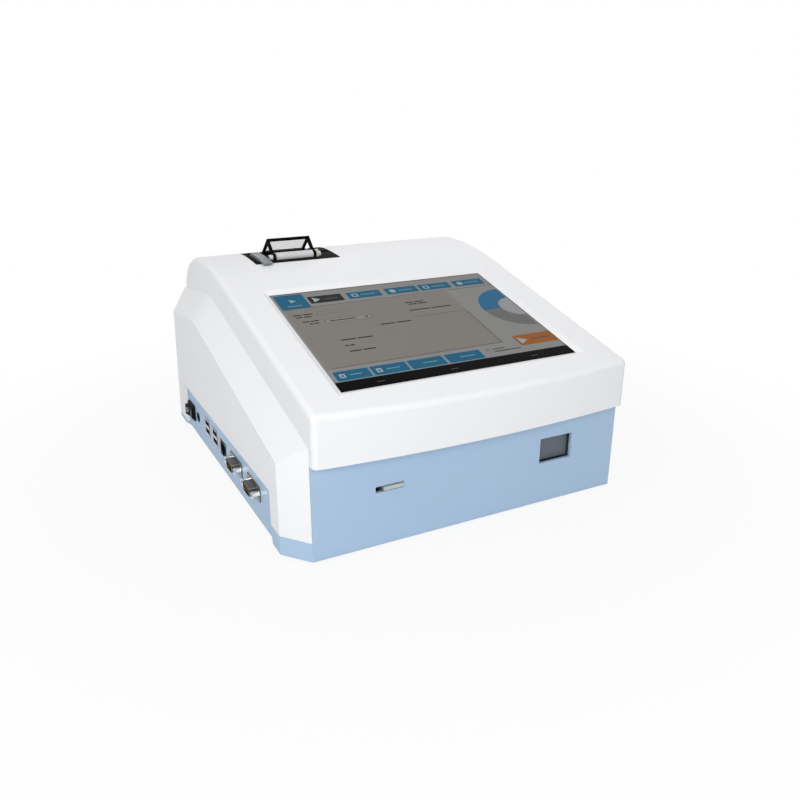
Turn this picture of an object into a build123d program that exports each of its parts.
from build123d import *
import os
from math import acos, atan2, cos, degrees, pi, radians, sin, sqrt, tan

# A benchtop rapid test reader: a white cover over a blue base, a sloped touch screen, a clamshell
# receipt printer at the rear left, ports on the left side, and a motorised cartridge drawer at the
# front right.  Millimetres, +Z up, +X to the right of someone facing the screen, +Y to the rear.
# The origin is the middle of the rectangle round the body, on the bench under the feet.
#
# Places on the body are given as (x, back, up): back is the distance behind the flat blue front
# panel and up is the height above the underside of the base.

os.makedirs("parts", exist_ok=True)

# ---- Driving dimensions: casing -----------------------------------------------------------------
body_width = 291.2          # over the two cheeks
body_depth = 332.4          # from the brow's nose to the rear wall
body_height = 165.0         # underside of the base to the crown of the roof
cheek_reach = 16.1          # each cheek stands this far out of the upper block and the front panel
foot_stand = 2.5            # how far the feet hold the base off the bench
cover_wall = 2.4
base_wall = 2.5
seam_gap = 0.2              # between the cover and the base, all round
roof_angle = 14.25          # slope of the screen face
crown_radius = 313.0        # gentle round at the top of the slope
crown_inset = 65.4          # the crown lies this far in front of the rear wall
roll_radius = 90.0          # where the roof starts to roll down to the rear
roll_angle = 25.0
brow_reach = 7.4            # the brow's corners stand this far in front of the panel
brow_bow = 7.5              # and its middle this much further
brow_height = 38.9          # from the brow's lower edge up to the foot of the slope
brow_round = 4.5            # rounding of the cover's upper edges
flare = 20.0                # how far the cheek's flat face is drawn in from its shoulder line
shoulder_front = 26.1       # the shoulder line at the front panel is this far below the slope's foot
shoulder_turn = (90.9, 25.5)    # its turn, in front of the rear wall and below the crown
shoulder_rear = 37.8        # its rear end, below the crown
cheek_front = 41.3          # the same three corners on the cheek's outer face
cheek_turn = (93.0, 47.0)
cheek_rear = (15.8, 56.0)
turn_radius = 90.0
cover_edge = 14.5           # height of the cover's lower edge at the front
rear_edge = 4.0             # and along the rear strip
base_side_height = 46.0
window_front = 37.5         # front end of the cheek's cut-out over the ports
window_rear = 33.5          # and the strip that stays behind it
port_window_top = 41.5
port_window_round = 9.0
port_ramp = 9.0             # length of the base's ramps into the port recess

# ---- Driving dimensions: screen -----------------------------------------------------------------
screen_width = 197.0        # visible picture, 9.7 inch across the diagonal
screen_height = 146.0
screen_lower = 1.03         # the picture's middle is this far below the middle of the slope
rim_flare = 4.8             # the window's rim is bevelled outward by this much
gasket_thick = 0.4
glass_thick = 1.8
glass_margin = 6.5          # glass beyond the picture on each side
lcd_thick = 5.5
lcd_margin = 5.5
bracket_thick = 1.2
bracket_margin = 15.5
bracket_screw_r = 1.2

# ---- Driving dimensions: casing screws and feet --------------------------------------------------
post_inset = 11.5           # the screw posts stand this far inside the upper block's sides
post_front = 56.0
post_rear = 55.5            # in front of the rear wall
post_r = 4.0
boss_r = 4.5
boss_top = 20.0
screw_r = 1.45
screw_play = 0.1
screw_head_r = 2.9
screw_head = 2.4
screw_seat = 6.6            # height of the shoulder that the screw head pulls against
foot_r = 8.0
foot_inset = 23.6
foot_front = 32.0
foot_rear = 25.5
foot_recess = 0.8

# ---- Driving dimensions: main board and ports -----------------------------------------------------
board_top = 14.6
board_thick = 1.6
board_width = 90.0
board_gap = 2.5             # from the board's edge to the base's side wall
board_ends = (26.5, 218.5)  # its ends, behind the front end of the port window
standoff_edge = 7.0         # standoffs by the ports stand this far in from the board's edge
standoff_far = 8.0          # and those on the other side this far
standoffs_near = (67.5, 113.0, 196.5)
standoffs_far = (34.5, 122.5, 210.5)
standoff_r = 2.8
window_design = 246.5       # length of the port window that the ports' places are given for
serial_places = (45.0, 90.0)    # places of the ports behind the front end of the window
serial_up = 23.3
serial_flange = (30.8, 12.5)
serial_shell = (16.9, 8.4)
serial_reach = 6.3          # the shell stands this far out of the wall
serial_pitch = 24.99        # between the two jackscrews of one port
jackscrew_reach = 5.0
network_place = 128.0
network_size = (16.0, 13.4, 16.0)
usb_places = (153.0, 178.0)
usb_size = (13.1, 15.6, 17.5)
usb_port = (12.0, 4.5, 10.0)
jack_place = 211.5
jack_size = (9.0, 11.0, 13.0)
jack_bore_r = 3.15
port_proud = 0.4            # metal port shells stand this far out of the wall
port_play = 0.3             # gap round each port in the wall
switch_place = 233.0
switch_up = 19.5
switch_flange = (21.0, 15.0, 2.0)
switch_body = (19.0, 12.6, 15.0)
rocker_size = (16.0, 10.2)
rocker_tilt = 7.0

# ---- Driving dimensions: printer -----------------------------------------------------------------
printer_inset = 79.5        # from the block's left side to the middle of the paper
bay_width = 78.5
bay_lead = 39.5             # the bay reaches this far to the left of the paper's middle
bay_front = 102.5           # the bay's front and rear edges, in front of the rear wall
bay_rear = 40.5
bezel_gap = 0.2
bezel_thick = 4.0
flange_lip = 3.0
hinge_inset = 57.5          # the lid's hinge, in front of the rear wall
hinge_drop = 3.0            # and below the crown
lid_opening = 41.0          # how far the lid stands open at rest
platen_inset = 88.5         # the platen's centre with the lid standing open
platen_drop = 0.0
platen_r = 4.0
platen_shaft_r = 1.5
lid_width = 40.0
arm_thick = 2.0
lid_panel = 2.0
lid_mid = 0.6               # the lid panel's mid-plane above the hinge axis
lid_reach = 24.7            # from the hinge axis to the lid panel's free edge
knuckle_r = 2.4
hinge_pin_r = 1.25
bush_r = 2.4
running_gap = 0.06          # radial clearance of shafts and pins
paper_inset = 70.0
paper_drop = 45.0
paper_r = 14.5
paper_width = 37.0
core_r = 6.5
spindle_r = 5.0
spindle_fit = 0.03
frame_wall = 2.0
frame_left = 3.6            # the frame's outer faces, beyond the lid's two sides
frame_right = 5.0
frame_drop = 64.0
gear_module = 0.5
platen_teeth = 16
idler_teeth = 24
motor_teeth = 16
gear_width = 2.0
motor_direction = -20.0     # from the idler to the motor, in degrees above the rearward line
printer_motor_r = 7.5
lever_width = 8.0
lever_gap = 6.5             # between the lever and the lid
lever_inset = 63.5          # the lever's pivot, in front of the rear wall
lever_drop = 6.5
lever_crest = 71.5          # the highest part of the lever, in front of the rear wall
lever_pin_r = 1.0
button_lead = 12.1          # from the lid's right side to the button's middle
button_inset = 73.5
button_side = 9.4
button_travel = 0.8
button_board_drop = 12.6
vent_drop = 81.0            # middle of the rear air slots below the crown

# ---- Driving dimensions: drawer and code chip ------------------------------------------------------
drawer_side = 57.35         # from the block's right side to the drawer's middle
window_size = (29.5, 20.4)
window_up = 43.8
drawer_inset = 4.8          # the drawer's face lies this far behind the panel
drawer_play = 0.4
drawer_front = 2.5
drawer_length = 112.0
drawer_travel = 70.0
floor_up = 39.2             # underside of the drawer's floor
floor_thick = 1.8
pocket_width = 22.6
pocket_length = 80.0
pocket_wall = 1.2
pocket_deep = 5.2
rail_play = 0.3
rail_height = 6.2
rail_lip = 1.7
rack_module = 0.8
rack_pitch_up = 35.0
rack_width = 5.0
rack_back = (31.0, 116.0)
pinion_teeth = 20
pinion_back = 38.0
drawer_motor_r = 7.0
chassis_wall = 3.0
chassis_back = (8.0, 124.0)
chassis_height = 62.0
bridge_back = (58.0, 96.0)
slot_side = 47.7            # from the block's left side to the slot
slot_width = 22.0
slot_up = (41.4, 45.9)
chip_size = (15.4, 2.7, 21.7)
chip_proud = 1.2
chip_play = 0.3

# ---- Values that follow from them ------------------------------------------------------------------
rear = body_depth - brow_reach - brow_bow
front_y = brow_reach + brow_bow - body_depth / 2
half_body = body_width / 2
half_block = half_body - cheek_reach
block_width = 2 * half_block
slope = tan(radians(roof_angle))
crown_top = rear - crown_inset
crown_start = crown_top - crown_radius * sin(radians(roof_angle))
crown_drop = crown_radius * (1 - cos(radians(roof_angle)))
slope_foot = body_height - crown_drop - slope * crown_start    # height over the panel's plane
brow_under = slope_foot - brow_height                          # height of the brow's lower edge
screen_middle = crown_start / cos(radians(roof_angle)) / 2 - screen_lower
port_window = (window_front, rear - window_rear)
port_spread = (port_window[1] - window_front) / window_design
roll_sine = sin(radians(roll_angle))
corner_radius = (rear - crown_top - roll_radius * roll_sine) / (1 - roll_sine)
below = -20.0               # forms that are trimmed at a lower edge start this far down
wall_half = half_body - cover_wall - seam_gap      # outer face of the base's side walls
panel_half = half_block - seam_gap
wall_rear = rear - cover_wall - seam_gap
wall_front = cover_wall + seam_gap + flare
flare_slope = flare / (half_body - half_block)
panel_step = wall_front - (wall_half - panel_half) * flare_slope
rear_draw = 4.0             # the cheeks' rear edges lean forward, and the base follows them
rear_corner = 10.0
cut = 1.0                   # how far cutters run past a face
wall_in = wall_half - base_wall

# places that follow the casing: posts, feet, board, ports, printer, drawer and slot
post_x = half_block - post_inset
post_backs = (post_front, rear - post_rear)
foot_x = half_body - foot_inset
foot_backs = (foot_front, rear - foot_rear)
board_x = (board_gap - wall_in, board_gap - wall_in + board_width)
board_back = tuple(window_front + place * port_spread for place in board_ends)
standoff_spots = [(x, window_front + place * port_spread)
                  for x, places in [(board_x[0] + standoff_edge, standoffs_near),
                                    (board_x[1] - standoff_far, standoffs_far)]
                  for place in places]
serial_backs = tuple(window_front + place * port_spread for place in serial_places)
network_back = window_front + network_place * port_spread
usb_backs = tuple(window_front + place * port_spread for place in usb_places)
jack_back = window_front + jack_place * port_spread
switch_back = window_front + switch_place * port_spread
printer_x = printer_inset - half_block
bay_x = (printer_x - bay_lead, printer_x - bay_lead + bay_width)
bay_back = (rear - bay_front, rear - bay_rear)
hinge_back = rear - hinge_inset
hinge_up = body_height - hinge_drop
platen_back = rear - platen_inset
platen_up = body_height - platen_drop
paper_back = rear - paper_inset
paper_up = body_height - paper_drop
lid_x = (printer_x - lid_width / 2, printer_x + lid_width / 2)
frame_x = (lid_x[0] - frame_left, lid_x[1] + frame_right)
frame_foot = body_height - frame_drop
lever_x = (lid_x[0] - lever_gap - lever_width, lid_x[0] - lever_gap)
lever_pivot = (rear - lever_inset, body_height - lever_drop)
crest_back = rear - lever_crest
button_x = lid_x[1] + button_lead
button_back = rear - button_inset
button_board_top = body_height - button_board_drop
drawer_x = half_block - drawer_side
slot_x = (slot_side - half_block, slot_side - half_block + slot_width)


def side_plane(x):
    """Sketch plane at x, whose own axes are (back, up); it faces +X."""
    return Plane(origin=(x, front_y, foot_stand), x_dir=(0, 1, 0), z_dir=(1, 0, 0))


def plan_plane(up):
    """Sketch plane at a height, whose own axes are (x, back); it faces upward."""
    return Plane(origin=(0, front_y, foot_stand + up), x_dir=(1, 0, 0), z_dir=(0, 0, 1))


def front_plane(back):
    """Sketch plane behind the front panel, whose own axes are (x, up); it faces the user."""
    return Plane(origin=(0, front_y + back, foot_stand), x_dir=(1, 0, 0), z_dir=(0, -1, 0))


def roof_plane(depth):
    """Sketch plane under the sloped face, whose own axes are (x, distance up the slope)."""
    angle = radians(roof_angle)
    face = Plane(origin=(0, front_y, foot_stand + slope_foot), x_dir=(1, 0, 0),
                 z_dir=(0, -sin(angle), cos(angle)))
    return face.offset(-depth)


def between(low_high):
    """Middle and length of a pair of limits."""
    return (low_high[0] + low_high[1]) / 2, low_high[1] - low_high[0]


def block(plane, width, height, depth, mode=Mode.ADD, at=(0, 0), corner=0):
    """Rectangle on a plane, extruded by depth along the plane's normal."""
    with BuildSketch(plane) as shape:
        with Locations(at):
            if corner:
                RectangleRounded(width, height, corner)
            else:
                Rectangle(width, height)
    extrude(shape.sketch, amount=depth, mode=mode)


def rod(plane, spots, radius, depth, mode=Mode.ADD):
    """Round bars or holes at the given spots of a plane."""
    with BuildSketch(plane) as shape:
        with Locations(*spots):
            Circle(radius)
    extrude(shape.sketch, amount=depth, mode=mode)


def tube(plane, spots, outer, inner, depth):
    """Round tubes at the given spots of a plane."""
    with BuildSketch(plane) as shape:
        with Locations(*spots):
            Circle(outer)
            Circle(inner, mode=Mode.SUBTRACT)
    extrude(shape.sketch, amount=depth)


def finish(piece, label):
    """Name a finished piece and write it to its own file."""
    piece.part.label = label
    export_step(piece.part, f"parts/{label}.step")


# ---- Forms of the casing ---------------------------------------------------------------------------
def block_face(inset):
    """Side view of the upper block: brow, slope, crown and rolled rear, drawn in by inset."""
    nose = -(brow_reach + brow_bow + 5)
    slope_end = (crown_start, slope_foot + slope * crown_start)
    with BuildLine() as outline:
        Polyline((rear, below), (0, below), (0, brow_under), (nose, brow_under),
                 (nose, slope_foot + slope * nose), slope_end)
        crown = JernArc(start=slope_end, tangent=(1, slope), radius=crown_radius,
                        arc_size=-roof_angle)
        roll = JernArc(start=crown @ 1, tangent=crown % 1, radius=roll_radius,
                       arc_size=-roll_angle)
        corner = JernArc(start=roll @ 1, tangent=roll % 1, radius=corner_radius,
                         arc_size=roll_angle - 90)
        Line(corner @ 1, (rear, below))
    with BuildSketch() as face:
        make_face(outline.edges())
        if inset:
            offset(amount=-inset, kind=Kind.INTERSECTION)
    return face.sketch


def brow_plan(inset):
    """Plan of the upper block with its bowed front."""
    half = half_block - inset
    with BuildLine() as outline:
        bow = ThreePointArc((-half, inset - brow_reach), (0, inset - brow_reach - brow_bow),
                            (half, inset - brow_reach))
        Polyline(bow @ 1, (half, rear + cut), (-half, rear + cut), bow @ 0)
    with BuildSketch() as face:
        make_face(outline.edges())
    return face.sketch


def cheek_face(corners, foot, inset):
    """Side view of a cheek through its front, turning and rear corners."""
    with BuildLine() as outline:
        Polyline((foot, below), (corners[0][0], below), *corners, (foot, below))
    with BuildSketch() as face:
        make_face(outline.edges())
        fillet(face.vertices().sort_by(Axis.Y)[-1], radius=turn_radius)
        if inset:
            offset(amount=-inset, kind=Kind.INTERSECTION)
    return face.sketch


def cover_form(inset):
    """Solid form of the cover, with its faces drawn in by inset."""
    shoulder = [(0, slope_foot - shoulder_front),
                (rear - shoulder_turn[0], body_height - shoulder_turn[1]),
                (rear, body_height - shoulder_rear)]
    cheek = [(flare, slope_foot - cheek_front),
             (rear - cheek_turn[0], body_height - cheek_turn[1]),
             (rear - cheek_rear[0], body_height - cheek_rear[1])]
    side = block_face(inset)
    plan = brow_plan(inset)
    shoulder_side = cheek_face(shoulder, rear, inset)
    cheek_side = cheek_face(cheek, rear - cut, inset)
    with BuildPart() as form:
        with BuildSketch(side_plane(inset - half_block)):
            add(side)
        extrude(amount=block_width - 2 * inset)
        with BuildSketch(plan_plane(below)):
            add(plan)
        extrude(amount=body_height - below + 20, mode=Mode.INTERSECT)
        if not inset:
            brow_low = foot_stand + brow_under + cut
            nose_y = front_y - brow_reach / 2
            upper = form.edges().filter_by(lambda e: e.center().Z > brow_low)
            sides = upper.filter_by(lambda e: abs(abs(e.center().X) - half_block) < 0.5)
            lip = upper.filter_by(lambda e: e.center().Y < nose_y and abs(e.center().X) < 1)
            fillet(sides + lip, radius=brow_round)
        with BuildSketch(side_plane(inset - half_block)):
            add(shoulder_side)
        with BuildSketch(side_plane(inset - half_body)):
            add(cheek_side)
        loft(ruled=True)
        mirror(about=Plane.YZ)
    return form.part


# ---- Gears -----------------------------------------------------------------------------------------
pressure = radians(20)
addendum = 0.85             # tooth height above the pitch circle, in modules
dedendum = 1.15
gear_backlash = 0.12
flank_steps = 3


def gear_points(teeth, module, phase):
    """Outline of an involute gear; phase is the direction of one tooth's middle, in degrees."""
    pitch = module * teeth / 2
    base = pitch * cos(pressure)
    tip = pitch + addendum * module
    root = pitch - dedendum * module
    start = max(base, root) * 1.0001
    half_at_pitch = (pi * module / 2 - gear_backlash) / (2 * pitch)

    def half_angle(r):
        turn = acos(min(1, base / r))
        return half_at_pitch + tan(pressure) - pressure - tan(turn) + turn

    radii = [start + (tip - start) * k / flank_steps for k in range(flank_steps + 1)]
    points = []
    for tooth in range(teeth):
        middle = radians(phase) + 2 * pi * tooth / teeth
        flank = [(root, half_angle(start))] + [(r, half_angle(r)) for r in radii]
        for r, half in flank:
            points.append((r * cos(middle - half), r * sin(middle - half)))
        for r, half in reversed(flank):
            points.append((r * cos(middle + half), r * sin(middle + half)))
    return points


def gear_face(teeth, module, phase, bore):
    """Face of a gear about its own centre, with a round bore."""
    with BuildLine() as outline:
        Polyline(*gear_points(teeth, module, phase), close=True)
    with BuildSketch() as face:
        make_face(outline.edges())
        Circle(bore, mode=Mode.SUBTRACT)
    return face.sketch


def mating_phase(phase, teeth, direction, mate_teeth):
    """Phase of the gear that meshes with one of the given phase, in the given direction."""
    lead = phase - direction
    return direction + 180 + 180 / mate_teeth - lead * teeth / mate_teeth


# ==== Top cover =====================================================================================
cover_outer = cover_form(0)
cover_inner = cover_form(cover_wall)
window_mid, window_length = between(port_window)
bay_mid_x = between(bay_x)[0]
bay_mid, bay_length = between(bay_back)
rim_top = (screen_width + 2 * rim_flare, screen_height + 2 * rim_flare)
bracket_x = (screen_width + bracket_margin + glass_margin) / 2 - 0.5
bracket_screws = [(side * bracket_x, screen_middle + end * screen_height * 0.42)
                  for side in (-1, 1) for end in (-1, 1)]
glass_top = cover_wall + gasket_thick
lcd_top = glass_top + glass_thick
bracket_top = lcd_top + lcd_thick
posts = [(side * post_x, back) for side in (-1, 1) for back in post_backs]
vent_rows = 7

with BuildPart() as top_cover:
    add(cover_outer)
    add(cover_inner, mode=Mode.SUBTRACT)
    # the lower edge, level at the front and lower along the rear strip
    block(plan_plane(below - cut), body_width + 2, body_depth * 2, rear_edge - below + cut,
          mode=Mode.SUBTRACT)
    block(plan_plane(0), body_width + 2, port_window[1] + 2 * brow_reach, cover_edge,
          mode=Mode.SUBTRACT, at=(0, port_window[1] / 2 - brow_reach))
    # the blue panel takes the place of the front wall under the brow
    block(front_plane(panel_step), block_width, brow_under, panel_step + cut,
          mode=Mode.SUBTRACT, at=(0, brow_under / 2))
    # cut-outs in both cheeks, over the ports and over the air slots
    for side in (-1, 1):
        with BuildSketch(side_plane(side * (half_body - cover_wall / 2))) as opening:
            with Locations((window_mid, port_window_top / 2)):
                Rectangle(window_length, port_window_top)
            fillet(opening.vertices().group_by(Axis.Z)[-1].sort_by(Axis.Y)[0],
                   radius=port_window_round)
            fillet(opening.vertices().sort_by(lambda v: v.Y + v.Z)[-1], radius=cover_wall)
        extrude(amount=cover_wall, both=True, mode=Mode.SUBTRACT)
    # the screen's window, with a bevelled rim
    with BuildSketch(roof_plane(-cut)):
        with Locations((0, screen_middle)):
            Rectangle(rim_top[0] + 2 * rim_flare * cut / cover_wall,
                      rim_top[1] + 2 * rim_flare * cut / cover_wall)
    with BuildSketch(roof_plane(cover_wall)):
        with Locations((0, screen_middle)):
            Rectangle(screen_width, screen_height)
    loft(mode=Mode.SUBTRACT)
    # the printer bay
    block(plan_plane(body_height - 40), bay_width, bay_length, 60, mode=Mode.SUBTRACT,
          at=(bay_mid_x, bay_mid))
    # air slots in the rear wall
    with BuildSketch(front_plane(rear - cover_wall - cut)):
        with GridLocations(58, 7, 3, vent_rows):
            with Locations((0, body_height - vent_drop)):
                SlotOverall(48, 2.6)
    extrude(amount=-(cover_wall + 2 * cut), mode=Mode.SUBTRACT)
    # posts for the casing screws
    for side, back in posts:
        roof = min(slope_foot + slope * back, body_height - 2) - cover_wall / 2
        rod(plan_plane(boss_top + seam_gap), [(side, back)], post_r, roof - boss_top)
    rod(plan_plane(boss_top), posts, screw_r + screw_play / 2, 14, mode=Mode.SUBTRACT)
    # bosses for the display bracket
    rod(roof_plane(bracket_top), bracket_screws, 3.0, bracket_top - cover_wall)
    rod(roof_plane(bracket_top), bracket_screws, bracket_screw_r + screw_play / 2, 5,
        mode=Mode.SUBTRACT)
finish(top_cover, "top_cover")

# ==== Base ==========================================================================================
def base_plan(points):
    """Closed face from the right-hand half of a plan, mirrored to the left."""
    left = [(-x, back) for x, back in reversed(points)]
    with BuildLine() as outline:
        Polyline(*points, *left, close=True)
    with BuildSketch() as face:
        make_face(outline.edges())
    return face.sketch


ramp_front = port_window[0] - cut
ramp_rear = port_window[1] - cut
plinth = base_plan([(half_block, 0), (half_body, flare), (half_body, ramp_front),
                    (wall_half, ramp_front + port_ramp), (wall_half, ramp_rear),
                    (half_body, ramp_rear + port_ramp), (half_body, rear - rear_draw),
                    (half_block, rear)])
skirt = base_plan([(half_block, 0), (half_body, flare), (half_body, ramp_front),
                   (wall_half, ramp_front + port_ramp), (wall_half, ramp_rear)])
wall_plan = base_plan([(panel_half, 0), (panel_half, panel_step), (wall_half, wall_front),
                       (wall_half, wall_rear - rear_corner), (half_block - 3, wall_rear)])
slot_mid = between(slot_x)[0]
slot_mid_up, slot_height = between(slot_up)
feet = [(side * foot_x, back) for side in (-1, 1) for back in foot_backs]
board_mid, board_length = between(board_back)
usb_up = board_top + usb_size[1] / 2
network_up = board_top + network_size[1] / 2
jack_up = board_top + jack_size[1] / 2
jackscrews = [(back + end * serial_pitch / 2, serial_up) for back in serial_backs
              for end in (-1, 1)]

with BuildPart() as base_tub:
    with BuildSketch(plan_plane(0)):
        add(plinth)
    extrude(amount=rear_edge - seam_gap)
    with BuildSketch(plan_plane(0)):
        add(skirt)
    extrude(amount=cover_edge - seam_gap)
    with BuildSketch(plan_plane(0)):
        add(wall_plan)
    extrude(amount=base_side_height)
    block(front_plane(base_wall), 2 * panel_half, brow_under - seam_gap, base_wall,
          at=(0, (brow_under - seam_gap) / 2))
    with BuildSketch(plan_plane(base_wall)):
        add(wall_plan)
        offset(amount=-base_wall, kind=Kind.INTERSECTION)
    extrude(amount=brow_under, mode=Mode.SUBTRACT)
    # upright ribs that stiffen the front panel
    with BuildSketch(plan_plane(base_wall)):
        with Locations((0, base_wall + 2)):
            with GridLocations(60, 1, 2, 1):
                Rectangle(2, 4)
    extrude(amount=brow_under - 12)
    # openings in the front panel
    block(front_plane(base_wall + cut), *window_size, base_wall + 2 * cut,
          mode=Mode.SUBTRACT, at=(drawer_x, window_up))
    block(front_plane(base_wall + cut), slot_width, slot_height, base_wall + 2 * cut,
          mode=Mode.SUBTRACT, at=(slot_mid, slot_mid_up))
    # openings for the ports in the left wall
    port_side = side_plane(-wall_half - cut)
    port_cut = base_wall + 2 * cut
    for back in serial_backs:
        block(port_side, serial_shell[0] + 2 * port_play, serial_shell[1] + 2 * port_play,
              port_cut, mode=Mode.SUBTRACT, at=(back, serial_up))
    rod(port_side, jackscrews, screw_r + 0.15, port_cut, mode=Mode.SUBTRACT)
    block(port_side, network_size[0] + 2 * port_play, network_size[1] + 2 * port_play,
          port_cut, mode=Mode.SUBTRACT, at=(network_back, network_up))
    for back in usb_backs:
        block(port_side, usb_size[0] + 2 * port_play, usb_size[1] + 2 * port_play,
              port_cut, mode=Mode.SUBTRACT, at=(back, usb_up))
    rod(port_side, [(jack_back, jack_up)], jack_size[0] / 2 + port_play, port_cut,
        mode=Mode.SUBTRACT)
    block(port_side, switch_body[0] + port_play, switch_body[1] + port_play, port_cut,
          mode=Mode.SUBTRACT, at=(switch_back, switch_up))
    # air slots in the right wall and in the floor
    with BuildSketch(side_plane(wall_in - cut)):
        with Locations((window_mid, 24)):
            with GridLocations(8, 1, 14, 1):
                SlotOverall(20, 3, rotation=90)
    extrude(amount=port_cut, mode=Mode.SUBTRACT)
    with BuildSketch(plan_plane(-cut)):
        with Locations((0, rear * 0.55)):
            with GridLocations(8, 1, 9, 1):
                SlotOverall(60, 3, rotation=90)
    extrude(amount=port_cut, mode=Mode.SUBTRACT)
    # screw bosses, their counterbores, and the recesses of the feet
    rod(plan_plane(base_wall), posts, boss_r, boss_top - base_wall)
    rod(plan_plane(-cut), posts, screw_r + screw_play, boss_top + 2 * cut, mode=Mode.SUBTRACT)
    rod(plan_plane(-cut), posts, screw_head_r + screw_play, screw_seat + cut,
        mode=Mode.SUBTRACT)
    rod(plan_plane(-cut), feet, foot_r + screw_play, foot_recess + cut, mode=Mode.SUBTRACT)
finish(base_tub, "base_tub")

with BuildPart() as rubber_feet:
    with BuildSketch(plan_plane(-foot_stand)):
        with Locations(*feet):
            Circle(foot_r)
    extrude(amount=foot_stand + foot_recess)
    chamfer(rubber_feet.edges().filter_by(GeomType.CIRCLE).group_by(Axis.Z)[0], length=0.6)
finish(rubber_feet, "rubber_feet")

with BuildPart() as casing_screws:
    rod(plan_plane(screw_seat - screw_head), posts, screw_head_r, screw_head)
    rod(plan_plane(screw_seat), posts, screw_r, boss_top - screw_seat + 12)
    with BuildSketch(plan_plane(screw_seat - screw_head)):
        with Locations(*posts):
            RegularPolygon(1.4, 6)
    extrude(amount=1.3, mode=Mode.SUBTRACT)
finish(casing_screws, "casing_screws")

# ==== Screen ========================================================================================
def slope_frame(width, height, depth, thick, hole=None):
    """Flat plate under the sloped face, with an optional rectangular hole."""
    with BuildPart() as plate:
        with BuildSketch(roof_plane(depth + thick)):
            with Locations((0, screen_middle)):
                RectangleRounded(width, height, 2)
                if hole:
                    Rectangle(*hole, mode=Mode.SUBTRACT)
        extrude(amount=thick)
    return plate


screen_gasket = slope_frame(screen_width + 2 * glass_margin, screen_height + 2 * glass_margin,
                            cover_wall, gasket_thick, (screen_width + 2, screen_height + 2))
finish(screen_gasket, "screen_gasket")

touch_glass = slope_frame(screen_width + 2 * glass_margin, screen_height + 2 * glass_margin,
                          glass_top, glass_thick)
finish(touch_glass, "touch_glass")

with BuildPart() as lcd_module:
    lcd_size = (screen_width + 2 * lcd_margin, screen_height + 2 * lcd_margin)
    block(roof_plane(lcd_top + lcd_thick), *lcd_size, lcd_thick, at=(0, screen_middle))
    # raised driver strip along the back of the panel
    block(roof_plane(lcd_top + lcd_thick), lcd_size[0] - 30, lcd_size[1] - 30, 1.0,
          mode=Mode.SUBTRACT, at=(0, screen_middle + 10))
finish(lcd_module, "lcd_module")

with BuildPart() as lcd_bracket:
    bracket_plane = roof_plane(bracket_top + bracket_thick)
    bracket_width = screen_width + glass_margin + bracket_margin + 6
    block(bracket_plane, bracket_width, screen_height, bracket_thick, at=(0, screen_middle),
          corner=3)
    with BuildSketch(bracket_plane):
        with Locations((0, screen_middle)):
            with GridLocations(62, 1, 3, 1):
                RectangleRounded(50, screen_height - 34, 4)
    extrude(amount=bracket_thick, mode=Mode.SUBTRACT)
    rod(bracket_plane, bracket_screws, bracket_screw_r + screw_play, bracket_thick,
        mode=Mode.SUBTRACT)
finish(lcd_bracket, "lcd_bracket")

with BuildPart() as bracket_screws_set:
    head_depth = bracket_top + bracket_thick
    rod(roof_plane(head_depth + 1.8), bracket_screws, 2.4, 1.8)
    rod(roof_plane(head_depth), bracket_screws, bracket_screw_r, bracket_thick + 4)
finish(bracket_screws_set, "bracket_screws")

# ==== Main board ====================================================================================
board_under = board_top - board_thick
board_mid_x = between(board_x)[0]
with BuildPart() as main_board:
    block(plan_plane(board_under), board_width, board_length, board_thick,
          at=(board_mid_x, board_mid))
    rod(plan_plane(board_under), standoff_spots, screw_r + screw_play, board_thick,
        mode=Mode.SUBTRACT)
finish(main_board, "main_board")

with BuildPart() as board_standoffs:
    with BuildSketch(plan_plane(base_wall)):
        with Locations(*standoff_spots):
            RegularPolygon(standoff_r, 6)
            Circle(screw_r + screw_play / 2, mode=Mode.SUBTRACT)
    extrude(amount=board_under - base_wall)
finish(board_standoffs, "board_standoffs")

with BuildPart() as board_screws:
    rod(plan_plane(board_top), standoff_spots, 2.7, 2.0)
    rod(plan_plane(board_under - 5), standoff_spots, screw_r, 5 + board_thick)
finish(board_screws, "board_screws")

with BuildPart() as heat_sink:
    sink_plane = plan_plane(board_top)
    sink_side = 34.0
    sink_spot = (board_mid_x - 2, board_mid + 10)
    block(sink_plane, sink_side, sink_side, 3, at=sink_spot)
    with BuildSketch(plan_plane(board_top + 3)):
        with Locations(sink_spot):
            with GridLocations(4.1, 1, 8, 1):
                Rectangle(1.2, sink_side)
    extrude(amount=9)
finish(heat_sink, "heat_sink")

# ==== Ports on the left side ========================================================================
def d_face(width, height, round_r):
    """D-shaped outline of a serial port, wide side up, about its own centre."""
    lean = height * tan(radians(10))
    with BuildSketch() as face:
        with BuildLine():
            Polyline((-width / 2, height / 2), (width / 2, height / 2),
                     (width / 2 - lean, -height / 2), (lean - width / 2, -height / 2),
                     close=True)
        make_face()
        fillet(face.vertices(), radius=round_r)
    return face.sketch


shell_skin = 0.5
flange_thick = 0.8
shell_outer = d_face(serial_shell[0], serial_shell[1], 2.4)
shell_inner = d_face(serial_shell[0] - 2 * shell_skin, serial_shell[1] - 2 * shell_skin,
                     2.4 - shell_skin)
insert_depth = 1.6          # the insert's face lies this far outside the wall
pin_rise = 1.42             # each row of pins lies this far from the middle
upper_pin_count = 5
lower_pin_count = 4

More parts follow.
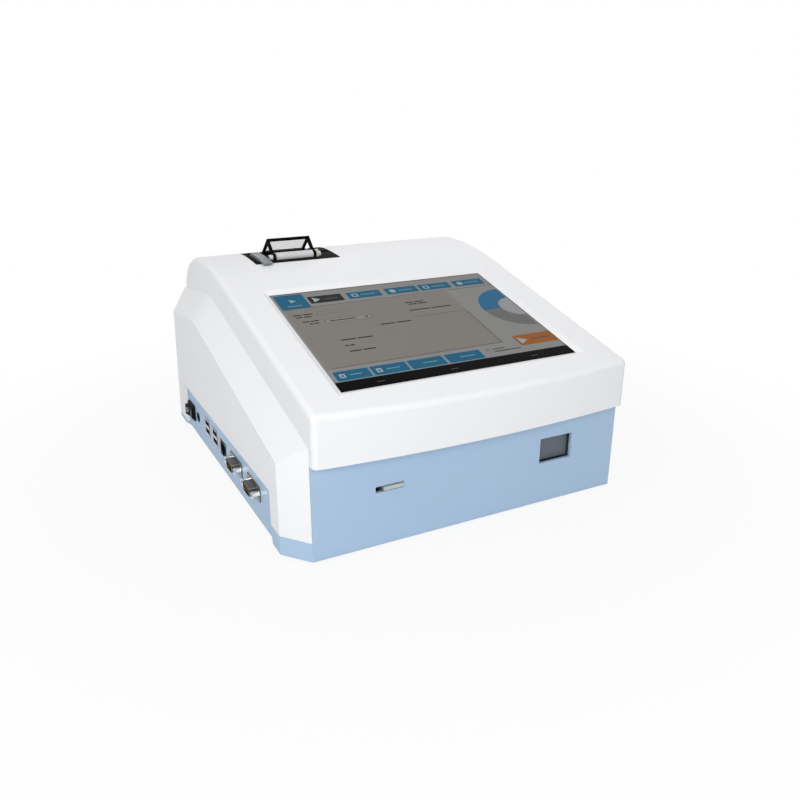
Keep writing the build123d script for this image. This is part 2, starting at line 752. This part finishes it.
for number, back in enumerate(serial_backs, start=1):
    with BuildPart() as serial_shell_part:
        block(side_plane(-wall_half - flange_thick), *serial_flange, flange_thick,
              at=(back, serial_up), corner=1.8)
        rod(side_plane(-wall_half - flange_thick),
            [(back + end * serial_pitch / 2, serial_up) for end in (-1, 1)],
            screw_r + 0.15, flange_thick, mode=Mode.SUBTRACT)
        with BuildSketch(side_plane(-wall_half - serial_reach)):
            with Locations((back, serial_up)):
                add(shell_outer)
        extrude(amount=serial_reach + base_wall)
        with BuildSketch(side_plane(-wall_half - serial_reach)):
            with Locations((back, serial_up)):
                add(shell_inner)
        extrude(amount=serial_reach + base_wall, mode=Mode.SUBTRACT)
    finish(serial_shell_part, f"serial_shell_{number}")

with BuildPart() as serial_inserts:
    for back in serial_backs:
        with BuildSketch(side_plane(-wall_half - insert_depth)):
            with Locations((back, serial_up)):
                add(shell_inner)
        extrude(amount=insert_depth + base_wall)
        block(side_plane(-wall_in), serial_shell[0] + 2, serial_up - board_top + 6, 12,
              at=(back, (serial_up + board_top + 6) / 2))
finish(serial_inserts, "serial_inserts")

with BuildPart() as serial_pins:
    pin_spots = [(back + (index - (count - 1) / 2) * 2.77, serial_up + row)
                 for back in serial_backs
                 for count, row in [(upper_pin_count, pin_rise), (lower_pin_count, -pin_rise)]
                 for index in range(count)]
    rod(side_plane(0.6 - wall_half - serial_reach), pin_spots, 0.5,
        serial_reach - insert_depth - 0.6)
finish(serial_pins, "serial_pins")

with BuildPart() as serial_jackscrews:
    with BuildSketch(side_plane(-wall_half - flange_thick - jackscrew_reach)):
        with Locations(*jackscrews):
            RegularPolygon(2.75, 6)
            Circle(1.25, mode=Mode.SUBTRACT)
    extrude(amount=jackscrew_reach - 0.8)
    with BuildSketch(side_plane(-wall_half - flange_thick - 0.8)):
        with Locations(*jackscrews):
            RegularPolygon(2.75, 6)
    extrude(amount=0.8)
    rod(side_plane(-wall_half - flange_thick), jackscrews, screw_r, flange_thick + base_wall + 2)
finish(serial_jackscrews, "serial_jackscrews")

with BuildPart() as network_jack:
    block(side_plane(-wall_half - port_proud), network_size[0], network_size[1],
          network_size[2], at=(network_back, network_up))
    block(side_plane(-wall_half - port_proud), 11.8, 7.2, 12.5, mode=Mode.SUBTRACT,
          at=(network_back, network_up + 1.2))
    block(side_plane(-wall_half - port_proud), 6.4, 2.4, 9, mode=Mode.SUBTRACT,
          at=(network_back, network_up - 3.6))
    block(side_plane(-wall_half - port_proud), 3.6, 1.6, 7, mode=Mode.SUBTRACT,
          at=(network_back, network_up - 5.4))
finish(network_jack, "network_jack")

tongue_lift = 0.9           # the tongue sits above the middle of its port
usb_rows = [board_top + usb_size[1] * share for share in (0.27, 0.75)]
for number, back in enumerate(usb_backs, start=1):
    with BuildPart() as usb_stack:
        block(side_plane(-wall_half - port_proud), usb_size[0], usb_size[1], usb_size[2],
              at=(back, usb_up))
        with BuildSketch(side_plane(-wall_half - port_proud)):
            with Locations(*[(back, up) for up in usb_rows]):
                Rectangle(usb_port[0], usb_port[1])
        extrude(amount=usb_port[2], mode=Mode.SUBTRACT)
    finish(usb_stack, f"usb_stack_{number}")

with BuildPart() as usb_tongues:
    with BuildSketch(side_plane(-wall_half - port_proud + 1.2)):
        with Locations(*[(back, up + tongue_lift) for back in usb_backs for up in usb_rows]):
            Rectangle(usb_port[0] - 1, 1.8)
    extrude(amount=usb_port[2] - 1.2)
finish(usb_tongues, "usb_tongues")

with BuildPart() as dc_jack:
    jack_face = side_plane(-wall_half - port_proud)
    block(side_plane(-wall_in), jack_size[0], jack_size[1], jack_size[2],
          at=(jack_back, jack_up))
    rod(jack_face, [(jack_back, jack_up)], jack_size[0] / 2, base_wall + port_proud)
    rod(jack_face, [(jack_back, jack_up)], jack_bore_r, 9.5, mode=Mode.SUBTRACT)
finish(dc_jack, "dc_jack")

with BuildPart() as jack_pin:
    rod(side_plane(-wall_half + 1), [(jack_back, jack_up)], 1.0, 9.5 - port_proud - 1)
finish(jack_pin, "jack_pin")

# ==== Power switch ==================================================================================
pivot_depth = 0.5           # the rocker's axis lies this far inside the wall's outer face
pivot_r = 1.0
rocker_hub_r = 3.4
rocker_well = (rocker_size[0] + 1.8, rocker_size[1] + 0.8, 9.0)

with BuildPart() as switch_housing:
    block(side_plane(-wall_half - switch_flange[2]), switch_flange[0], switch_flange[1],
          switch_flange[2], at=(switch_back, switch_up), corner=1.2)
    chamfer(switch_housing.faces().sort_by(Axis.X)[0].edges(), length=0.7)
    block(side_plane(-wall_half), switch_body[0], switch_body[1], switch_body[2],
          at=(switch_back, switch_up))
    block(side_plane(-wall_half - switch_flange[2]), rocker_well[0], rocker_well[1],
          rocker_well[2], mode=Mode.SUBTRACT, at=(switch_back, switch_up))
    with BuildSketch(plan_plane(switch_up - switch_body[1] / 2 + 0.2)):
        with Locations((pivot_depth - wall_half, switch_back)):
            Circle(pivot_r + running_gap)
    extrude(amount=switch_body[1] - 0.4, mode=Mode.SUBTRACT)
finish(switch_housing, "switch_housing")


def rocker_plane(up):
    """Plan of the rocker about its pivot, tilted as it stands at rest; its x points outward."""
    tilt = radians(rocker_tilt)
    return Plane(origin=(pivot_depth - wall_half, front_y + switch_back, foot_stand + up),
                 x_dir=(-cos(tilt), -sin(tilt), 0), z_dir=(0, 0, 1))


with BuildPart() as power_rocker:
    half_rocker = rocker_size[0] / 2
    with BuildSketch(rocker_plane(switch_up - rocker_size[1] / 2)):
        with BuildLine():
            Polyline((0.6, -half_rocker), (4.9, -half_rocker), (3.5, 0), (4.9, half_rocker),
                     (0.6, half_rocker), (-1.2, 0), close=True)
        make_face()
        Circle(rocker_hub_r)
    extrude(amount=rocker_size[1])
    with BuildSketch(rocker_plane(switch_up - rocker_size[1] / 2 - 0.9)):
        Circle(pivot_r)
    extrude(amount=rocker_size[1] + 1.8)
finish(power_rocker, "power_rocker")

# ==== Printer: places that follow from the hinge and the platen ======================================
opening = radians(lid_opening)
rest_back = platen_back - hinge_back
rest_up = platen_up - hinge_up
platen_along = rest_up * sin(opening) - rest_back * cos(opening)
platen_above = rest_back * sin(opening) + rest_up * cos(opening)
swing = sqrt(platen_along ** 2 + platen_above ** 2)
closed_back = hinge_back - platen_along
closed_up = hinge_up + platen_above
outward = (-platen_along / swing, platen_above / swing)     # from the hinge to the closed platen
inward = (-outward[1], outward[0])                           # the way the platen arrives
idler_distance = gear_module * (platen_teeth + idler_teeth) / 2
idler_spot = (closed_back + inward[0] * idler_distance, closed_up + inward[1] * idler_distance)
to_platen = degrees(atan2(-inward[1], -inward[0]))
motor_distance = gear_module * (idler_teeth + motor_teeth) / 2
motor_turn = radians(motor_direction)
motor_spot = (idler_spot[0] + cos(motor_turn) * motor_distance,
              idler_spot[1] + sin(motor_turn) * motor_distance)
plate_right = frame_x[1] - frame_wall
plate_left = frame_x[0] + frame_wall
gear_x = plate_right - 0.6 - gear_width
bay_open = (plate_left + 0.3, plate_right - 0.3)
bay_open_back = (platen_back - platen_r - 1.5, hinge_back + 4.0)
slot_half = bush_r + 0.4
lever_slot = (lever_x[0] - 0.5, lever_x[1] + 0.5)
lever_slot_back = (bay_open_back[0], hinge_back + 2.0)
button_hole = button_side + 0.6


def lid_plane(x):
    """Side plane of the standing lid: its own axes run along the lid and out of its face."""
    return Plane(origin=(x, front_y + hinge_back, foot_stand + hinge_up),
                 x_dir=(0, -cos(opening), sin(opening)), z_dir=(-1, 0, 0))


def head_plane(x):
    """Side plane at the closed platen: its own axes run away from the hinge and inward."""
    return Plane(origin=(x, front_y + closed_back, foot_stand + closed_up),
                 x_dir=(0, outward[0], outward[1]), z_dir=(1, 0, 0))


# ==== Printer bezel =================================================================================
roof_line = block_face(0)
bezel_line = block_face(bezel_thick)
lip_line = block_face(cover_wall + 0.05)

with BuildPart() as printer_bezel:
    # the wider lip under the roof, then the plate that fills the bay
    with BuildSketch(side_plane(bay_x[0] - flange_lip)):
        add(lip_line)
        add(bezel_line, mode=Mode.SUBTRACT)
    extrude(amount=bay_width + 2 * flange_lip)
    with BuildSketch(side_plane(bay_x[0] + bezel_gap)):
        add(roof_line)
        add(bezel_line, mode=Mode.SUBTRACT)
    extrude(amount=bay_width - 2 * bezel_gap)
    block(plan_plane(body_height - 30), bay_width + 2 * flange_lip,
          bay_length + 2 * flange_lip, 60, mode=Mode.INTERSECT, at=(bay_mid_x, bay_mid))
    # trim the visible plate to the bay, leaving the lip
    with BuildSketch(side_plane(bay_x[0] - flange_lip - cut)):
        add(roof_line)
        add(lip_line, mode=Mode.SUBTRACT)
        with Locations((bay_mid, body_height)):
            Rectangle(bay_length - 2 * bezel_gap, 60, mode=Mode.SUBTRACT)
    extrude(amount=bay_width + 2 * flange_lip + 2 * cut, mode=Mode.SUBTRACT)
    # openings for the lid, for the shaft ends and hinge ears, for the lever and for the button
    for limits, backs in [
        (bay_open, bay_open_back),
        ((frame_x[0] - 0.4, frame_x[1] + 0.4), (platen_back - 3.6, platen_back + 3.6)),
        ((frame_x[0] - 0.4, frame_x[1] + 0.4), (hinge_back - 4.5, bay_open_back[1])),
        (lever_slot, lever_slot_back),
        ((button_x - button_hole / 2, button_x + button_hole / 2),
         (button_back - button_hole / 2, button_back + button_hole / 2)),
    ]:
        mid_x, width = between(limits)
        mid_back, length = between(backs)
        block(plan_plane(body_height - 20), width, length, 40, mode=Mode.SUBTRACT,
              at=(mid_x, mid_back))
    # ears that carry the lever's pin, and posts that carry the button's board
    ear_top = body_height - bezel_thick
    for x in (lever_slot[0] - 2.2, lever_slot[1] + 0.2):
        with BuildSketch(side_plane(x)):
            with Locations(lever_pivot):
                Circle(2.6)
                with Locations((0, (ear_top - lever_pivot[1]) / 2)):
                    Rectangle(5.2, ear_top - lever_pivot[1])
                Circle(lever_pin_r + 0.02, mode=Mode.SUBTRACT)
        extrude(amount=2.0)
    button_posts = [(button_x + 8.0, button_back + end) for end in (-6, 6)]
    rod(plan_plane(button_board_top), button_posts, 1.8, ear_top - button_board_top + 0.5)
finish(printer_bezel, "printer_bezel")

# ==== Printer frame =================================================================================
seat_line = block_face(bezel_thick + 0.02)
bucket_r = paper_r + 2.8
front_slab = 6.8            # distance of the frame's front wall from the closed platen's axis
front_skin = 1.6


closed_turn = 180 + degrees(atan2(-outward[1], -outward[0]))
swing_path = CenterArc((hinge_back, hinge_up), swing, closed_turn, -lid_opening - 5)


def frame_plate_face(with_drive):
    """One side plate of the printer frame, seen from the side."""
    with BuildSketch() as face:
        add(seat_line)
        plate_back = between((platen_back - 7, hinge_back + 7.5))
        plate_up = between((frame_foot, body_height + 5))
        with Locations((plate_back[0], plate_up[0])):
            Rectangle(plate_back[1], plate_up[1], mode=Mode.INTERSECT)
        with Locations((hinge_back, hinge_up)):
            Circle(2.9)
            with Locations((0, -2)):
                Rectangle(5.8, 4)
            Circle(hinge_pin_r + 0.03, mode=Mode.SUBTRACT)
        SlotArc(swing_path, 2 * slot_half, mode=Mode.SUBTRACT)
        with Locations((paper_back, paper_up)):
            Circle(spindle_r + spindle_fit, mode=Mode.SUBTRACT)
        if with_drive:
            with Locations(motor_spot):
                Circle(1.9, mode=Mode.SUBTRACT)
    return face.sketch


left_plate = frame_plate_face(False)
right_plate = frame_plate_face(True)
with BuildPart() as printer_frame:
    with BuildSketch(side_plane(frame_x[0])):
        add(left_plate)
    extrude(amount=frame_wall)
    with BuildSketch(side_plane(plate_right)):
        add(right_plate)
    extrude(amount=frame_wall)
    # slanted front wall that carries the print head, and the bucket round the paper roll
    with BuildSketch(head_plane(plate_left)):
        with Locations((front_slab + front_skin / 2, -3)):
            Rectangle(front_skin, 13)
    extrude(amount=plate_right - plate_left)
    slab_foot = (closed_back + outward[0] * (front_slab + 0.8) + inward[0] * 3.4,
                 closed_up + outward[1] * (front_slab + 0.8) + inward[1] * 3.4)
    with BuildSketch(side_plane(plate_left)):
        with BuildLine() as bucket:
            Polyline(slab_foot, (paper_back - bucket_r, closed_up - 11),
                     (paper_back - bucket_r, paper_up))
            bowl = CenterArc((paper_back, paper_up), bucket_r, 180, 180)
            Line(bowl @ 1, (paper_back + bucket_r, hinge_up - 6))
        trace(bucket.edges(), line_width=front_skin)
    extrude(amount=plate_right - plate_left)
finish(printer_frame, "printer_frame")

with BuildPart() as print_head:
    head_width = paper_width - 1
    head_mid = (lid_x[0] + lid_x[1]) / 2
    with BuildSketch(head_plane(head_mid - head_width / 2)):
        with Locations(((platen_r + 0.3 + front_slab) / 2, -3)):
            Rectangle(front_slab - platen_r - 0.3, 12)
    extrude(amount=head_width)
finish(print_head, "print_head")

with BuildPart() as paper_spindle:
    rod(side_plane(frame_x[0]), [(paper_back, paper_up)], spindle_r, frame_x[1] - frame_x[0])
    rod(side_plane(frame_x[0]), [(paper_back, paper_up)], spindle_r - 1.2,
        frame_x[1] - frame_x[0], mode=Mode.SUBTRACT)
finish(paper_spindle, "paper_spindle")

roll_mid = (lid_x[0] + lid_x[1]) / 2
with BuildPart() as paper_core:
    tube(side_plane(roll_mid - paper_width / 2 - 0.4), [(paper_back, paper_up)], core_r,
         spindle_r + running_gap, paper_width + 0.8)
finish(paper_core, "paper_core")

with BuildPart() as paper_roll:
    tube(side_plane(roll_mid - paper_width / 2), [(paper_back, paper_up)], paper_r, core_r,
         paper_width)
finish(paper_roll, "paper_roll")

with BuildPart() as lid_hinge_pin:
    rod(side_plane(frame_x[0]), [(hinge_back, hinge_up)], hinge_pin_r, frame_x[1] - frame_x[0])
finish(lid_hinge_pin, "lid_hinge_pin")

# ==== Printer lid, standing open =====================================================================
lid_bar = 2.2
pane_along = (5.0, lid_reach - lid_bar)
pane_width = lid_width - 2 * lid_bar
knuckle_width = 8.0
pane_mid, pane_length = between(pane_along)
arm_low = (platen_along, platen_above)

with BuildPart() as lid_frame:
    with BuildSketch(lid_plane(lid_x[1])):
        with Locations(((2.9 + lid_reach) / 2, lid_mid)):
            Rectangle(lid_reach - 2.9, lid_panel)
    extrude(amount=lid_width)
    # hinge knuckles at the two ends
    with BuildSketch(lid_plane(lid_x[1])):
        Circle(knuckle_r)
        with Locations((1.6, lid_mid)):
            Rectangle(3.2, lid_panel)
    extrude(amount=knuckle_width)
    with BuildSketch(lid_plane(lid_x[0] + knuckle_width)):
        Circle(knuckle_r)
        with Locations((1.6, lid_mid)):
            Rectangle(3.2, lid_panel)
    extrude(amount=knuckle_width)
    # the opening for the clear pane
    with BuildSketch(lid_plane(lid_x[1] - (lid_width - pane_width) / 2)):
        with Locations((pane_mid, lid_mid)):
            Rectangle(pane_length, 2 * lid_panel)
    extrude(amount=pane_width, mode=Mode.SUBTRACT)
    # arms that carry the platen's bushes
    for x in (lid_x[1], lid_x[0] + arm_thick):
        with BuildSketch(lid_plane(x)):
            with BuildLine():
                Polyline((lid_reach - 4, lid_mid), (lid_reach, lid_mid),
                         (arm_low[0] + 1.6, arm_low[1]), (arm_low[0] - 1.6, arm_low[1]),
                         close=True)
            make_face()
            with Locations(arm_low):
                Circle(bush_r + 1.1)
        extrude(amount=arm_thick)
        with BuildSketch(lid_plane(x)):
            with Locations(arm_low):
                Circle(bush_r)
        extrude(amount=arm_thick, mode=Mode.SUBTRACT)
    with BuildSketch(lid_plane(lid_x[1] + cut)):
        Circle(hinge_pin_r + running_gap)
    extrude(amount=lid_width + 2 * cut, mode=Mode.SUBTRACT)
finish(lid_frame, "lid_frame")

with BuildPart() as lid_window:
    with BuildSketch(lid_plane(lid_x[1] - (lid_width - pane_width) / 2)):
        with Locations((pane_mid, lid_mid)):
            Rectangle(pane_length, lid_panel - 0.8)
    extrude(amount=pane_width)
finish(lid_window, "lid_window")

shaft_ends = (frame_x[0] + 0.2, frame_x[1] - 0.2)
with BuildPart() as platen_bushes:
    for start, end in [(lid_x[0] + arm_thick, shaft_ends[0]), (lid_x[1], lid_x[1] - arm_thick),
                       (shaft_ends[1], plate_right)]:
        with BuildSketch(lid_plane(start)):
            with Locations(arm_low):
                Circle(bush_r)
                Circle(platen_shaft_r + running_gap, mode=Mode.SUBTRACT)
        extrude(amount=start - end)
finish(platen_bushes, "platen_bushes")

with BuildPart() as platen_shaft:
    with BuildSketch(lid_plane(shaft_ends[1])):
        with Locations(arm_low):
            Circle(platen_shaft_r)
    extrude(amount=shaft_ends[1] - shaft_ends[0])
finish(platen_shaft, "platen_shaft")

with BuildPart() as platen_roller:
    with BuildSketch(lid_plane(lid_x[1] - arm_thick - 1)):
        with Locations(arm_low):
            Circle(platen_r)
            Circle(platen_shaft_r, mode=Mode.SUBTRACT)
    extrude(amount=lid_width - 2 * arm_thick - 2)
finish(platen_roller, "platen_roller")

to_idler = degrees(atan2(inward[1], -inward[0]))     # seen in the lid's own side plane
platen_face = gear_face(platen_teeth, gear_module, to_idler + 180 / platen_teeth, platen_shaft_r)
with BuildPart() as platen_gear:
    with BuildSketch(lid_plane(gear_x + gear_width)):
        with Locations(arm_low):
            add(platen_face)
    extrude(amount=gear_width)
finish(platen_gear, "platen_gear")

# ==== Printer drive =================================================================================
idler_pin_r = 1.2
idler_face = gear_face(idler_teeth, gear_module, to_platen, idler_pin_r + running_gap)
with BuildPart() as idler_gear:
    with BuildSketch(side_plane(gear_x)):
        with Locations(idler_spot):
            add(idler_face)
    extrude(amount=gear_width)
finish(idler_gear, "idler_gear")

with BuildPart() as idler_pin:
    rod(side_plane(gear_x - 0.4), [idler_spot], idler_pin_r, plate_right - gear_x + 0.4)
finish(idler_pin, "idler_pin")

motor_phase = mating_phase(to_platen, idler_teeth, motor_direction, motor_teeth)
motor_shaft_r = 1.0
motor_face = gear_face(motor_teeth, gear_module, motor_phase, 0.4)
printer_motor_length = 12.0
with BuildPart() as drive_pinion:
    with BuildSketch(side_plane(gear_x)):
        with Locations(motor_spot):
            add(motor_face)
    extrude(amount=gear_width)
    rod(side_plane(gear_x), [motor_spot], motor_shaft_r, gear_width + frame_wall + 4)
finish(drive_pinion, "drive_pinion")

with BuildPart() as printer_motor:
    rod(side_plane(frame_x[1]), [motor_spot], printer_motor_r, printer_motor_length)
    chamfer(printer_motor.edges().filter_by(GeomType.CIRCLE), length=0.6)
    rod(side_plane(frame_x[1]), [motor_spot], motor_shaft_r + running_gap, 6,
        mode=Mode.SUBTRACT)
finish(printer_motor, "printer_motor")

# ==== Release lever and feed button =================================================================
with BuildPart() as lever_pin:
    rod(side_plane(lever_slot[0] - 2.2), [lever_pivot], lever_pin_r,
        lever_slot[1] - lever_slot[0] + 4.4)
finish(lever_pin, "lever_pin")

lever_nose = bay_back[0] - 5.5
leg_back = bay_open_back[0] + 1.1
with BuildPart() as release_lever:
    with BuildSketch(side_plane(lever_x[0])):
        with BuildLine():
            Polyline((lever_nose, body_height - 1.9), (lever_nose, body_height - 0.4),
                     (leg_back + 2, body_height + 1.6), (crest_back, body_height + 2.2),
                     (lever_pivot[0] + 2.6, lever_pivot[1] + 1.5), (lever_pivot[0], lever_pivot[1]),
                     (crest_back, body_height - 1.4), (leg_back + 3.4, body_height - 2.0),
                     (leg_back + 3.4, body_height - 13), (leg_back, body_height - 13),
                     (leg_back, body_height - 0.9), close=True)
        make_face()
        with Locations(lever_pivot):
            Circle(2.8)
            Circle(lever_pin_r + running_gap, mode=Mode.SUBTRACT)
    extrude(amount=lever_width)
finish(release_lever, "release_lever")

button_top = body_height + 0.6
with BuildPart() as feed_button:
    button_lip = body_height - bezel_thick - 0.8
    block(plan_plane(button_lip), button_side, button_side, button_top - button_lip,
          at=(button_x, button_back), corner=1.5)
    fillet(feed_button.faces().sort_by(Axis.Z)[-1].edges(), radius=0.5)
    block(plan_plane(button_lip - 1.6), button_side + 2.4, button_side + 2.4, 1.6,
          at=(button_x, button_back))
    rod(plan_plane(button_lip - 3.4), [(button_x, button_back)], 1.6, 1.9)
finish(feed_button, "feed_button")

with BuildPart() as button_board:
    block(plan_plane(button_board_top - 1.2), 17, 16, 1.2, at=(button_x + 2.0, button_back))
finish(button_board, "button_board")

with BuildPart() as feed_switch:
    block(plan_plane(button_board_top), 6, 6, 2.6, at=(button_x, button_back))
    rod(plan_plane(button_board_top + 2.6), [(button_x, button_back)], 1.7, 0.7)
finish(feed_switch, "feed_switch")

# ==== Drawer mechanism ==============================================================================
half_floor = window_size[0] / 2 - drawer_play
chassis_half = half_floor + rail_play + 3.2
drawer_start = drawer_inset + drawer_front
pocket_start = drawer_start + 3.0
floor_top = floor_up + floor_thick

with BuildPart() as drawer_face:
    face_height = window_size[1] - 2 * drawer_play
    block(front_plane(drawer_start), 2 * half_floor, face_height, drawer_front,
          at=(drawer_x, window_up), corner=0.8)
finish(drawer_face, "drawer_face")

with BuildPart() as cartridge_tray:
    tray_end = drawer_start + drawer_length
    block(plan_plane(floor_up), 2 * half_floor, drawer_length, floor_thick,
          at=(drawer_x, drawer_start + drawer_length / 2))
    wall_length = pocket_length + 2 * pocket_wall + 3.0
    block(plan_plane(floor_top), pocket_width + 2 * pocket_wall, wall_length, pocket_deep,
          at=(drawer_x, drawer_start + wall_length / 2))
    block(plan_plane(floor_top), pocket_width, pocket_length, pocket_deep,
          mode=Mode.SUBTRACT, at=(drawer_x, pocket_start + pocket_length / 2))
    # finger notches in both pocket walls
    with BuildSketch(side_plane(drawer_x - half_floor)):
        with Locations((pocket_start + 16, floor_top + pocket_deep)):
            SlotOverall(18, 6.4)
    extrude(amount=2 * half_floor, mode=Mode.SUBTRACT)
finish(cartridge_tray, "cartridge_tray")

pinion_pitch = rack_module * pinion_teeth / 2
pinion_up = rack_pitch_up - pinion_pitch
tooth_pitch = pi * rack_module
with BuildPart() as drawer_rack:
    tip_up = rack_pitch_up - addendum * rack_module
    root_up = rack_pitch_up + dedendum * rack_module
    with BuildSketch(side_plane(drawer_x - rack_width / 2)):
        with Locations((between(rack_back)[0], (root_up + floor_up) / 2)):
            Rectangle(between(rack_back)[1], floor_up - root_up)
        half_pitch = (tooth_pitch / 2 - gear_backlash) / 2
        first = int((rack_back[0] - pinion_back) / tooth_pitch)
        last = int((rack_back[1] - pinion_back) / tooth_pitch)
        for tooth in range(first, last):
            middle = pinion_back + (tooth + 0.5) * tooth_pitch
            half_tip = half_pitch - (rack_pitch_up - tip_up) * tan(pressure)
            half_root = half_pitch + (root_up - rack_pitch_up) * tan(pressure)
            with BuildLine():
                Polyline((middle - half_root, root_up), (middle - half_tip, tip_up),
                         (middle + half_tip, tip_up), (middle + half_root, root_up),
                         close=True)
            make_face()
    extrude(amount=rack_width)
finish(drawer_rack, "drawer_rack")

drawer_shaft_r = 1.0
pinion_face = gear_face(pinion_teeth, rack_module, 90, 0.4)
with BuildPart() as drawer_pinion:
    with BuildSketch(side_plane(drawer_x - rack_width / 2)):
        with Locations((pinion_back, pinion_up)):
            add(pinion_face)
    extrude(amount=rack_width)
    rod(side_plane(drawer_x - rack_width / 2), [(pinion_back, pinion_up)], drawer_shaft_r,
        rack_width + 6)
    rod(side_plane(drawer_x - rack_width / 2 - 1.2), [(pinion_back, pinion_up)], 3.2, 1.2)
finish(drawer_pinion, "drawer_pinion")

with BuildPart() as drawer_motor:
    motor_start = drawer_x + rack_width / 2 + 0.8
    motor_length = drawer_x + chassis_half - motor_start
    with BuildSketch(side_plane(motor_start)):
        with Locations((pinion_back, pinion_up)):
            Circle(drawer_motor_r)
            Rectangle(2 * drawer_motor_r, 1.5 * drawer_motor_r, mode=Mode.INTERSECT)
    extrude(amount=motor_length)
    rod(side_plane(motor_start), [(pinion_back, pinion_up)], drawer_shaft_r + running_gap, 7,
        mode=Mode.SUBTRACT)
finish(drawer_motor, "drawer_motor")

with BuildPart() as guide_rails:
    rail_mid_up = floor_up + floor_thick / 2
    for side in (-1, 1):
        inner = half_floor - rail_lip
        with BuildSketch(front_plane(chassis_back[0])):
            with Locations((drawer_x + side * (inner + chassis_half) / 2, rail_mid_up)):
                Rectangle(chassis_half - inner, rail_height)
            with Locations((drawer_x + side * (inner + half_floor + rail_play) / 2,
                            rail_mid_up)):
                Rectangle(rail_lip + rail_play, floor_thick + 2 * rail_play,
                          mode=Mode.SUBTRACT)
        extrude(amount=chassis_back[0] - chassis_back[1])
finish(guide_rails, "guide_rails")

chassis_mid, chassis_length = between(chassis_back)
bridge_mid, bridge_length = between(bridge_back)
chassis_outer = 2 * (chassis_half + chassis_wall)
bridge_thick = 3.0
chassis_screw_spots = [(drawer_x + side * (chassis_half - 3.6), chassis_mid + end * 48)
                       for side in (-1, 1) for end in (-1, 1)]
with BuildPart() as reader_chassis:
    block(plan_plane(base_wall), chassis_outer, chassis_length, chassis_height - base_wall,
          at=(drawer_x, chassis_mid))
    block(plan_plane(base_wall + chassis_wall), 2 * chassis_half, chassis_length,
          chassis_height, mode=Mode.SUBTRACT, at=(drawer_x, chassis_mid))
    block(plan_plane(chassis_height - bridge_thick), chassis_outer, bridge_length,
          bridge_thick, at=(drawer_x, bridge_mid))
    # the side walls are cut down in front of and behind the bridge, and opened low down
    for start, end in [(chassis_back[0] - cut, bridge_back[0]),
                       (bridge_back[1], chassis_back[1] + cut)]:
        block(plan_plane(floor_up + 9), chassis_outer + 2, end - start, chassis_height,
              mode=Mode.SUBTRACT, at=(drawer_x, (start + end) / 2))
    with BuildSketch(side_plane(drawer_x - chassis_half - chassis_wall - cut)):
        with Locations((bridge_mid + 4, 20)):
            with GridLocations(30, 1, 2, 1):
                RectangleRounded(22, 18, 4)
    extrude(amount=chassis_outer + 2 * cut, mode=Mode.SUBTRACT)
    rod(plan_plane(base_wall), chassis_screw_spots, screw_r + screw_play, chassis_wall,
        mode=Mode.SUBTRACT)
finish(reader_chassis, "reader_chassis")

with BuildPart() as chassis_screws:
    rod(plan_plane(base_wall + chassis_wall), chassis_screw_spots, 2.7, 2.0)
    rod(plan_plane(base_wall), chassis_screw_spots, screw_r, chassis_wall)
finish(chassis_screws, "chassis_screws")

lens_r = 4.2
optics_under = floor_top + pocket_deep + 2.8
with BuildPart() as optics_head:
    block(plan_plane(optics_under), 22, 34, chassis_height - bridge_thick - optics_under,
          at=(drawer_x, bridge_mid), corner=2)
    rod(plan_plane(optics_under), [(drawer_x, bridge_mid)], lens_r, 4, mode=Mode.SUBTRACT)
finish(optics_head, "optics_head")

with BuildPart() as optics_lens:
    rod(plan_plane(optics_under - 1.2), [(drawer_x, bridge_mid)], lens_r, 5.2)
    fillet(optics_lens.faces().sort_by(Axis.Z)[0].edges(), radius=1.0)
finish(optics_lens, "optics_lens")

# ==== Code chip and its socket ======================================================================
chip_mid = slot_x[1] - 0.6 - chip_size[0] / 2
chip_up = slot_mid_up + 0.2
key_width = 3.8
with BuildPart() as chip_socket:
    socket_depth = chip_size[2] - chip_proud + 3.0
    block(front_plane(base_wall + socket_depth), slot_width + 4, slot_height + 4, socket_depth,
          at=(slot_mid, slot_mid_up))
    block(front_plane(base_wall + socket_depth - 2.5), chip_size[0] + 2 * chip_play,
          chip_size[1] + 2 * chip_play, socket_depth, mode=Mode.SUBTRACT,
          at=(chip_mid, chip_up))
    block(front_plane(base_wall + 8), key_width, slot_height - 0.4, 8 + cut,
          mode=Mode.SUBTRACT, at=(slot_x[0] + 0.2 + key_width / 2, slot_mid_up))
finish(chip_socket, "chip_socket")

with BuildPart() as code_chip:
    block(front_plane(chip_size[2] - chip_proud), chip_size[0], chip_size[1], chip_size[2],
          at=(chip_mid, chip_up))
    block(front_plane(-chip_proud + 3.2), chip_size[0] + cut, 0.5, 1.4, mode=Mode.SUBTRACT,
          at=(chip_mid, chip_up + chip_size[1] / 2))
finish(code_chip, "code_chip")
